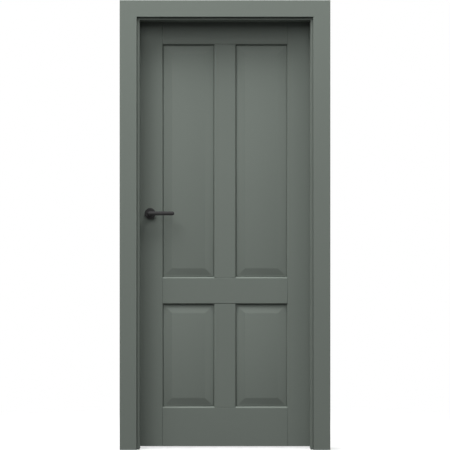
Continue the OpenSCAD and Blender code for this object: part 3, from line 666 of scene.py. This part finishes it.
# %% Lathe and sweep
AROUND = 64
BARREL_AROUND = 48
SCREW_AROUND = 32
ROSE_AROUND = 96
WIDE_ARC = 8
SMALL_ARC = 5


def turned(profile, axis=Matrix.Identity(4), around=AROUND, closed=False):
    """Rings of a profile of (radius, height) about local Z, set in place by a matrix."""
    shape = bmesh.new()
    rings = []
    for radius, height in profile:
        if radius < SAME_POINT:
            rings.append([shape.verts.new((0, 0, height))] * around)
        else:
            rings.append([shape.verts.new((radius * math.cos(a), radius * math.sin(a), height))
                          for a in (2 * math.pi * k / around for k in range(around))])
    pairs = list(zip(rings, rings[1:])) + ([(rings[-1], rings[0])] if closed else [])
    for one, two in pairs:
        for k in range(around):
            n = (k + 1) % around
            corners = list(dict.fromkeys((one[k], one[n], two[n], two[k])))
            if len(corners) > 2:
                shape.faces.new(corners)
    for ring in (() if closed else (rings[0], rings[-1])):
        if len(set(ring)) > 2:
            shape.faces.new(ring)
    bmesh.ops.recalc_face_normals(shape, faces=shape.faces)
    shape.transform(axis)
    return shape


def arc(centre, radius, start, stop, steps):
    turns = [math.radians(start + (stop - start) * k / steps) for k in range(steps + 1)]
    return [(centre[0] + radius * math.cos(a), centre[1] + radius * math.sin(a)) for a in turns]


def as_mesh(name, *shapes):
    mesh = bpy.data.meshes.new(name)
    whole = bmesh.new()
    for shape in shapes:
        part = bpy.data.meshes.new(name + "_part")
        shape.to_mesh(part)
        shape.free()
        whole.from_mesh(part)
        bpy.data.meshes.remove(part)
    whole.to_mesh(mesh)
    whole.free()
    return smoothed(mesh)


print("lathe ready")

# %% [markdown]
# ## The lever handle
#
# A round bar comes straight out of the rose, is mitred to a second bar and ends in a half ball. The
# two bars are welded and ground, so the mitre's outer corner is only just rounded. A ring of points
# is carried along the path, and at the corner it leans over by 45 degrees. Each lever turns with
# the spindle, so both ride on the handle.

# %% Levers
LEVER_RADIUS = 9.5 * MM
MITRE_EASE = 0.7 * MM
MITRE_HOLD = 0.3 * MM
TIP_STEPS = 10
NECK_EASE = 0.8 * MM
UP = Vector((0, 0, 1))


def mitred_bar(axis_x, axis_z, root_y, bar_y, tip_x):
    """A bar from root_y to bar_y along Y, then along X to tip_x."""
    out, along = Vector((0, math.copysign(1, bar_y - root_y), 0)), Vector((1, 0, 0))
    root, corner = Vector((axis_x, root_y, axis_z)), Vector((axis_x, bar_y, axis_z))
    out_side, along_side = out.cross(UP), along.cross(UP)
    lean = out_side + along_side
    near, far = MITRE_EASE, MITRE_EASE + MITRE_HOLD
    path = [(root, out_side, LEVER_RADIUS - NECK_EASE),
            (root + NECK_EASE * out, out_side, LEVER_RADIUS)]
    path += [(corner - back * out, lean, LEVER_RADIUS) for back in (far, near)]
    path += [(corner + on * along, lean, LEVER_RADIUS) for on in (near, far)]
    ball = Vector((tip_x - LEVER_RADIUS, bar_y, axis_z))
    for k in range(TIP_STEPS):
        a = math.pi / 2 * k / TIP_STEPS
        path.append((ball + LEVER_RADIUS * math.sin(a) * along, along_side,
                     LEVER_RADIUS * math.cos(a)))
    shape = bmesh.new()
    turns = [2 * math.pi * k / AROUND for k in range(AROUND)]
    rings = [[shape.verts.new(at + radius * (math.cos(t) * side + math.sin(t) * UP)) for t in turns]
             for at, side, radius in path]
    for one, two in zip(rings, rings[1:]):
        for k in range(AROUND):
            n = (k + 1) % AROUND
            shape.faces.new((one[k], one[n], two[n], two[k]))
    shape.faces.new(rings[0])
    tip = shape.verts.new(ball + LEVER_RADIUS * along)
    for k in range(AROUND):
        shape.faces.new((rings[-1][k], rings[-1][(k + 1) % AROUND], tip))
    bmesh.ops.recalc_face_normals(shape, faces=shape.faces)
    return shape


for side in ("push", "pull"):
    low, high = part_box(side + "_lever")
    axis_x, axis_z = low.x + LEVER_RADIUS, (low.z + high.z) / 2
    root, bar = (high.y, low.y + LEVER_RADIUS) if side == "push" else (low.y, high.y - LEVER_RADIUS)
    mesh = as_mesh(side + "_lever", mitred_bar(axis_x, axis_z, root, bar, high.x))
    place(side + "_lever_coated", mesh, "handle", "black_coating", [coat], [side + "_lever"])
    print(side, "lever reaches", round((high.x - axis_x) / MM), "mm")

# %% [markdown]
# ## Roses
#
# The rose is a spun cover with a softly rounded rim, a low collar round the lever's neck and a dark
# line where it meets the door. It hides the base plate, which its through bolts hold.

# %% Roses
ROSE_HEIGHT = 9 * MM
ROSE_EASE = 2.0 * MM
BORE_EASE = 0.4 * MM
ROSE_WALL = 2 * MM
ROSE_FOOT = 0.4 * MM
BORE = 9.7 * MM
COLLAR = 12.7 * MM
COLLAR_EASE = 0.8 * MM

for side in ("push", "pull"):
    low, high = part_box(side + "_rose")
    radius, top = (high.x - low.x) / 2, high.y - low.y
    foot = high.y if side == "push" else low.y
    turn = Matrix.Rotation(math.radians(90 if side == "push" else -90), 4, "X")
    axis = Matrix.Translation(((low.x + high.x) / 2, foot, (low.z + high.z) / 2)) @ turn
    profile = ([(radius - ROSE_WALL, 0), (radius - ROSE_FOOT, 0), (radius - ROSE_FOOT, ROSE_FOOT),
                (radius, 2 * ROSE_FOOT)]
               + arc((radius - ROSE_EASE, ROSE_HEIGHT - ROSE_EASE), ROSE_EASE, 0, 90, WIDE_ARC)
               + [(COLLAR + BORE_EASE, ROSE_HEIGHT), (COLLAR, ROSE_HEIGHT + BORE_EASE)]
               + arc((COLLAR - COLLAR_EASE, top - COLLAR_EASE), COLLAR_EASE, 0, 90, SMALL_ARC)
               + [(BORE + BORE_EASE, top), (BORE, top - BORE_EASE), (BORE, ROSE_HEIGHT - ROSE_WALL),
                  (radius - ROSE_WALL, ROSE_HEIGHT - ROSE_WALL)])
    mesh = as_mesh(side + "_rose", turned(profile, axis, ROSE_AROUND, closed=True))
    place(side + "_rose_coated", mesh, "leaf", "black_coating", [coat], [side + "_rose"])
    print(side, "rose", round(2 * radius / MM), "mm across")

# %% [markdown]
# ## What repeats in a line
#
# Three hinges stand one above the other at an even pitch, and each plate has its screws in a row.
# One tree copies whatever mesh it is given along a line and turns each copy about its own axis by
# a random amount, as a screwdriver leaves them. The seed is fixed, so every run gives the same.

# %% The row tree


def row_tree():
    tree, given = new_tree("row_of_fittings", (
        ("Count", "Int"), ("First", "Vector"), ("Step", "Vector"), ("Facing", "Vector"),
        ("Loose turn", "Float"), ("Seed", "Int"), ("Finish", "Material")))
    line = Wire.add(tree, "GeometryNodeMeshLine", {"mode": "OFFSET"},
                    {"Count": given["Count"], "Start Location": given["First"],
                     "Offset": given["Step"]})
    set_out = Wire.add(tree, "GeometryNodeInstanceOnPoints", None,
                       {"Points": line, "Instance": given["Geometry"], "Rotation": given["Facing"]})
    angle = Wire.add(tree, "FunctionNodeRandomValue", {"data_type": "FLOAT"},
                     {"Min": 0.0, 3: given["Loose turn"], "Seed": given["Seed"]}, out=1)
    turn = Wire.add(tree, "ShaderNodeCombineXYZ", None, {2: angle})
    turned_out = Wire.add(tree, "GeometryNodeRotateInstances", None,
                          {"Instances": set_out, "Rotation": turn})
    end_tree(tree, turned_out, given["Finish"])
    return tree


row_rule = row_tree()
QUARTER = math.pi / 2


def row(name, mesh, finish, count, first, step, facing=(0, 0, 0), loose=0.0, seed=1):
    made = settled(grow(name + "_bench", row_rule, mesh, {
        "Count": count, "First": first, "Step": step, "Facing": facing,
        "Loose turn": loose, "Seed": seed, "Finish": finish.material}))
    return smoothed(made)


print("row tree has", len(row_rule.nodes), "nodes")

# %% [markdown]
# ## Hinges
#
# Each hinge is two turned barrels on a pin. The lower one is screwed into the frame by two round
# stems, the upper one into the leaf. Their outer ends are rounded over.

# %% Hinge barrels
HINGE_RADIUS = 7 * MM
KNUCKLE = 34 * MM
HALF_WASHER = 0.6 * MM
HINGE_DOME = 2.6 * MM
LINE_EASE = 0.4 * MM
STEM_RADIUS = 4 * MM
STEM_SPOTS = (8 * MM, 26 * MM)

barrel_line = ([(0, HALF_WASHER), (HINGE_RADIUS - LINE_EASE, HALF_WASHER),
                (HINGE_RADIUS, HALF_WASHER + LINE_EASE)]
               + arc((HINGE_RADIUS - HINGE_DOME, KNUCKLE - HINGE_DOME), HINGE_DOME, 0, 90, WIDE_ARC)
               + [(0, KNUCKLE)])
pin_low, pin_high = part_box("hinge_pin_top")
next_low, next_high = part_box("hinge_pin_middle")
first = (pin_low + pin_high) / 2
step = (next_low + next_high) / 2 - first
levels = ("top", "middle", "bottom")


def knuckle(name, upside, stem_turn, stem_length):
    flip = Matrix.Diagonal((1, 1, upside, 1))
    shapes = [turned(barrel_line, flip, BARREL_AROUND)]
    for spot in STEM_SPOTS:
        stem = Matrix.Translation((0, 0, upside * spot)) @ stem_turn
        shapes.append(turned([(STEM_RADIUS, 0), (STEM_RADIUS, stem_length)], stem, SCREW_AROUND))
    for shape in shapes:
        bmesh.ops.recalc_face_normals(shape, faces=shape.faces)
    return as_mesh(name, *shapes)


frame_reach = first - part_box("hinge_frame_knuckle_top")[0]
leaf_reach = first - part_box("hinge_leaf_knuckle_top")[0]
sets = (("frame", -1, Matrix.Rotation(QUARTER, 4, "X"), frame_reach.y),
        ("leaf", 1, Matrix.Rotation(-QUARTER, 4, "Y"), leaf_reach.x))
for body, upside, stem_turn, stem_length in sets:
    half = knuckle("knuckle_" + body, upside, stem_turn, stem_length)
    mesh = row("hinge_" + body, half, nickel, len(levels), first, step)
    stands_for = [f"hinge_{body}_knuckle_{level}" for level in levels]
    place(f"hinge_{body}_barrels", mesh, body, "steel", [nickel], stands_for)
    print("hinge barrels on", body, len(mesh.polygons), "faces")

# %% [markdown]
# ## Screws
#
# The strike, the forend and the corner brackets are held by countersunk screws with a cross recess.
# One screw is turned on the lathe, its cross is sunk into the head as real geometry, and the row
# tree copies it. The same tree copies a drill for each screw, which opens the plate above its head.

# %% One screw
HEAD_RADIUS = 3.5 * MM
SHANK_RADIUS = 1.75 * MM
HEAD_HEIGHT = 2.2 * MM
HEAD_EDGE = 0.15 * MM
SCREW_LENGTH = 25 * MM
CROSS_REACH = 2.1 * MM
CROSS_HALF = 0.45 * MM
CROSS_DEPTH = 1.3 * MM
CROSS_TAPER = 0.8


def screw(name):
    profile = [(HEAD_RADIUS - HEAD_EDGE, 0), (HEAD_RADIUS, -HEAD_EDGE),
               (HEAD_RADIUS, -2 * HEAD_EDGE), (SHANK_RADIUS, -HEAD_HEIGHT),
               (SHANK_RADIUS, SHANK_RADIUS - SCREW_LENGTH), (0, -SCREW_LENGTH)]
    shape = turned(profile, around=SCREW_AROUND)
    top = next(f for f in shape.faces if len(f.verts) == SCREW_AROUND)
    rim = list(top.verts)
    shape.faces.remove(top)
    half, reach = CROSS_HALF, CROSS_REACH
    outline = []
    for k in range(4):
        turn = Matrix.Rotation(QUARTER * k, 3, "Z")
        outline += [turn @ Vector((half, half, 0)), turn @ Vector((half, reach, 0)),
                    turn @ Vector((-half, reach, 0))]
    sunk = Vector((0, 0, CROSS_DEPTH))
    edge = [shape.verts.new(p) for p in outline]
    floor_ring = [shape.verts.new(CROSS_TAPER * p - sunk) for p in outline]
    for k in range(len(edge)):
        n = (k + 1) % len(edge)
        shape.faces.new((edge[k], edge[n], floor_ring[n], floor_ring[k]))
    shape.faces.new(floor_ring)
    ring = [shape.edges.get((a, b)) for a, b in zip(edge, edge[1:] + edge[:1])]
    around = [shape.edges.get((a, b)) for a, b in zip(rim, rim[1:] + rim[:1])]
    bmesh.ops.triangle_fill(shape, edges=ring + around, use_beauty=True)
    bmesh.ops.recalc_face_normals(shape, faces=shape.faces)
    return as_mesh(name, shape)


print("screw is", round(SCREW_LENGTH / MM), "mm long")

# %% Rows of screws
HEAD_FIT = 0.15 * MM
DRILL_LOW = 0.4 * MM
DRILL_HIGH = 1.0 * MM
BRACKET_HOLES = (22 * MM, 45 * MM)
SCREW_SEED = 7
drill_line = [(HEAD_RADIUS + HEAD_FIT, -DRILL_LOW), (HEAD_RADIUS + HEAD_FIT, DRILL_HIGH)]


def screw_rows(name, lines):
    """Screws and their drills for lines of (first head, step to the next, facing)."""
    screws, drills = bmesh.new(), bmesh.new()
    for first, step, facing in lines:
        drill = as_mesh(name, turned(drill_line, around=BARREL_AROUND))
        screws.from_mesh(row(name, screw(name), nickel, 2, first, step, facing, math.pi, SCREW_SEED))
        drills.from_mesh(row(name, drill, nickel, 2, first, step, facing))
    return as_mesh(name, screws), as_mesh(name + "_drills", drills)


def plate_line(node, facing, head_x):
    low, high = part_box(node)
    bottom = Vector((head_x(low, high), (low.y + high.y) / 2, low.z + HEAD_RADIUS))
    return [(bottom, Vector((0, 0, high.z - low.z - 2 * HEAD_RADIUS)), facing)]


def bracket_lines(side):
    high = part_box("bracket_screws")[1]
    near, far = BRACKET_HOLES
    across = high.y - HEAD_RADIUS
    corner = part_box("corner_bracket_right")[1]
    up_jamb = Vector((side * high.x, -across, corner.z - near))
    along_head = Vector((side * (corner.x - near), across, high.z))
    return [(up_jamb, Vector((0, 0, near - far)), (0, side * QUARTER, 0)),
            (along_head, Vector((side * (near - far), 0, 0)), (0, 0, 0))]


strike_screws, strike_drills = screw_rows("strike_screws", plate_line(
    "strike_screws", (0, QUARTER, 0), lambda low, high: high.x))
forend_screws, forend_drills = screw_rows("forend_screws", plate_line(
    "forend_screws", (0, -QUARTER, 0), lambda low, high: low.x))
left_screws, left_drills = screw_rows("left_bracket_screws", bracket_lines(-1))
right_screws, right_drills = screw_rows("right_bracket_screws", bracket_lines(1))
place("strike_screw_pair", strike_screws, "frame", "steel", [nickel], ["strike_screws"])
place("forend_screw_pair", forend_screws, "leaf", "steel", [nickel], ["forend_screws"])
both_sides = bmesh.new()
both_sides.from_mesh(left_screws)
both_sides.from_mesh(right_screws)
place("bracket_screw_set", as_mesh("bracket_screw_set", both_sides), "frame", "zinc_plate", [zinc],
      ["bracket_screws"])
print("screws in strike, forend and brackets")

# %% [markdown]
# ## Plates, brackets and latch
#
# Stamped plates have a faint rolled edge. The same easing as on the joinery, but finer, gives the
# strike, the forend, the corner brackets and the sprung latch theirs.

# %% Plates
PLATE_EASE = 0.25 * MM
SHORT_EDGE = 2.5 * MM
plates = (("strike_plate", "frame", "steel", nickel, strike_drills),
          ("lock_forend", "leaf", "steel", nickel, forend_drills),
          ("corner_bracket_left", "frame", "zinc_plate", zinc, left_drills),
          ("corner_bracket_right", "frame", "zinc_plate", zinc, right_drills),
          ("latch_bolt", "latch", "steel", nickel, None))
for node, body, slot, finish, drills in plates:
    mesh = eased(node, PLATE_EASE, shortest=SHORT_EDGE, drills=drills)
    place(node + "_eased", mesh, body, slot, [finish], [node])
    print(node, len(mesh.polygons), "faces")

# %% [markdown]
# ## The latch spring
#
# A coil of wire is wound round the tail of the latch and pushes it out. One tree winds it: a round
# section is carried along a spiral, which is laid along the latch. The spring stays in the lock and
# gets shorter when the handle draws the latch in, so it rides on the leaf. It gets a mesh of its
# own, and the share of its length that it keeps with the latch drawn fully in is worked out.

# %% The spring tree
COIL_STEPS = 24
WIRE_SIDES = 10


def spring_tree():
    tree, given = new_tree("wound_spring", (
        ("Turns", "Float"), ("Coil", "Float"), ("Wire", "Float"), ("Length", "Float"),
        ("Start", "Vector"), ("Finish", "Material")))
    spiral = Wire.add(tree, "GeometryNodeCurveSpiral", None, {
        "Resolution": COIL_STEPS, "Rotations": given["Turns"], "Start Radius": given["Coil"],
        "End Radius": given["Coil"], "Height": given["Length"]})
    section = Wire.add(tree, "GeometryNodeCurvePrimitiveCircle", None,
                       {"Resolution": WIRE_SIDES, "Radius": given["Wire"]})
    wound = Wire.add(tree, "GeometryNodeCurveToMesh", None,
                     {"Curve": spiral, "Profile Curve": section, "Fill Caps": True})
    laid = Wire.add(tree, "GeometryNodeTransform", None, {
        "Geometry": wound, "Rotation": (0, QUARTER, 0), "Translation": given["Start"]})
    end_tree(tree, laid, given["Finish"])
    return tree


spring_rule = spring_tree()
print("spring tree has", len(spring_rule.nodes), "nodes")

# %% The spring
WIRE_RADIUS = 0.5 * MM
SPRING_TURNS = 7
slide = next(j for j in frame["record"]["behaviour"]["joints"] if j["name"] == "latch_slide")
fixed_end = slide["deforming_nodes"][0]["fixed_end_x_m"]
low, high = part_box("latch_spring")
axis_y, axis_z = (low.y + high.y) / 2, (low.z + high.z) / 2
spring_mesh = smoothed(settled(grow("spring_bench", spring_rule, bpy.data.meshes.new("spring"), {
    "Turns": float(SPRING_TURNS), "Coil": (high.y - low.y) / 2 - WIRE_RADIUS, "Wire": WIRE_RADIUS,
    "Length": high.x - low.x - 2 * WIRE_RADIUS,
    "Start": Vector((low.x + WIRE_RADIUS, axis_y, axis_z)), "Finish": nickel.material})))
spring = place("latch_spring_wound", spring_mesh, "leaf", "steel", [nickel], ["latch_spring"])
left_share = 1 - slide["range_m"][1] / (fixed_end - low.x)
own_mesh(spring)
print("spring keeps", round(100 * left_share), "% of its length")

# %% [markdown]
# ## The seal
#
# A rubber seal sits in a groove of the stop and goes up one jamb, across the head and down the
# other. It is one length pushed round the corners, so it is drawn as one path with a tight bend at
# each corner. A tree rounds the path's corners and carries the section along it.

# %% The seal tree
BEND_STEPS = 6


def seal_tree():
    tree, given = new_tree("seal_run", (
        ("Section", "Object"), ("Bend", "Float"), ("Finish", "Material")))
    path = Wire.add(tree, "GeometryNodeMeshToCurve", None, {"Mesh": given["Geometry"]})
    bent = Wire.add(tree, "GeometryNodeFilletCurve", {"mode": "POLY"},
                    {"Curve": path, "Count": BEND_STEPS, "Radius": given["Bend"],
                     "Limit Radius": False})
    shown = Wire.add(tree, "GeometryNodeObjectInfo", None, {"Object": given["Section"]},
                     out="Geometry")
    section = Wire.add(tree, "GeometryNodeMeshToCurve", None, {"Mesh": shown})
    swept = Wire.add(tree, "GeometryNodeCurveToMesh", None,
                     {"Curve": bent, "Profile Curve": section, "Fill Caps": True})
    end_tree(tree, swept, given["Finish"])
    return tree


seal_rule = seal_tree()
print("seal tree has", len(seal_rule.nodes), "nodes")

# %% The seal
SEAL_HALF = 3.5 * MM
SEAL_CROWN = 1.6 * MM
FIN_HALF = 1.3 * MM
FIN_LENGTH = 6 * MM
SEAL_BEND = 5.2 * MM


def outline(name, points, closed):
    mesh = bpy.data.meshes.new(name)
    count = len(points)
    edges = [(k, (k + 1) % count) for k in range(count if closed else count - 1)]
    mesh.from_pydata(points, edges, [])
    return mesh


side_low, side_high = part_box("seal_hinge_side")
head_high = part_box("seal_head")[1]
line_x = side_high.x - SEAL_HALF
line_z = head_high.z - SEAL_HALF
stop_y = side_low.y + FIN_LENGTH
crown = side_high.y - stop_y
run = [(line_x, stop_y, 0), (line_x, stop_y, line_z),
       (-line_x, stop_y, line_z), (-line_x, stop_y, 0)]
left = arc((SEAL_HALF - SEAL_CROWN, crown - SEAL_CROWN), SEAL_CROWN, 0, 90, SMALL_ARC)
right = [(-u, v) for u, v in reversed(left)]
ring = ([(FIN_HALF, -FIN_LENGTH), (FIN_HALF, 0), (SEAL_HALF, 0)] + left + right
        + [(-SEAL_HALF, 0), (-FIN_HALF, 0), (-FIN_HALF, -FIN_LENGTH)])
section = on_bench("seal_section", outline("seal_section", [(u, v, 0) for u, v in ring], True))
seal_bench = grow("seal_bench", seal_rule, outline("seal_path", run, False), {
    "Section": section, "Bend": SEAL_BEND, "Finish": rubber.material})
seal_mesh = smoothed(settled(seal_bench))
bpy.data.objects.remove(section)
place("rubber_seal", seal_mesh, "frame", "seal_rubber", [rubber],
      ["seal_latch_side", "seal_hinge_side", "seal_head"])
spread = [max(v.co[k] for v in seal_mesh.vertices) - min(v.co[k] for v in seal_mesh.vertices)
          for k in range(3)]
print("seal spans", [round(s / MM, 1) for s in spread], "mm")

# %% [markdown]
# ## Parts that stay as they are
#
# Inside the leaf and the hinges sit the lock, the spindle, the bushes, the dowels, the pins and the
# washers. Their CAD shapes are right, so they only take a finish.

# %% Dress the rest
kept = {
    zinc: ("hinge_pin_top", "hinge_pin_middle", "hinge_pin_bottom", "lock_case",
           "lock_cover", "follower", "push_rose_base", "pull_rose_base"),
    nickel: ("spindle", "rose_bolts", "lever_grub_screws"),
    nylon: ("hinge_washers", "push_bush", "pull_bush"),
    beech: ("dowels",),
}
for finish, nodes in kept.items():
    for node in nodes:
        materials = frame["nodes"][node].data.materials
        materials.clear()
        materials.append(finish.material)
    print(finish.material.name, "on", len(nodes), "CAD parts")
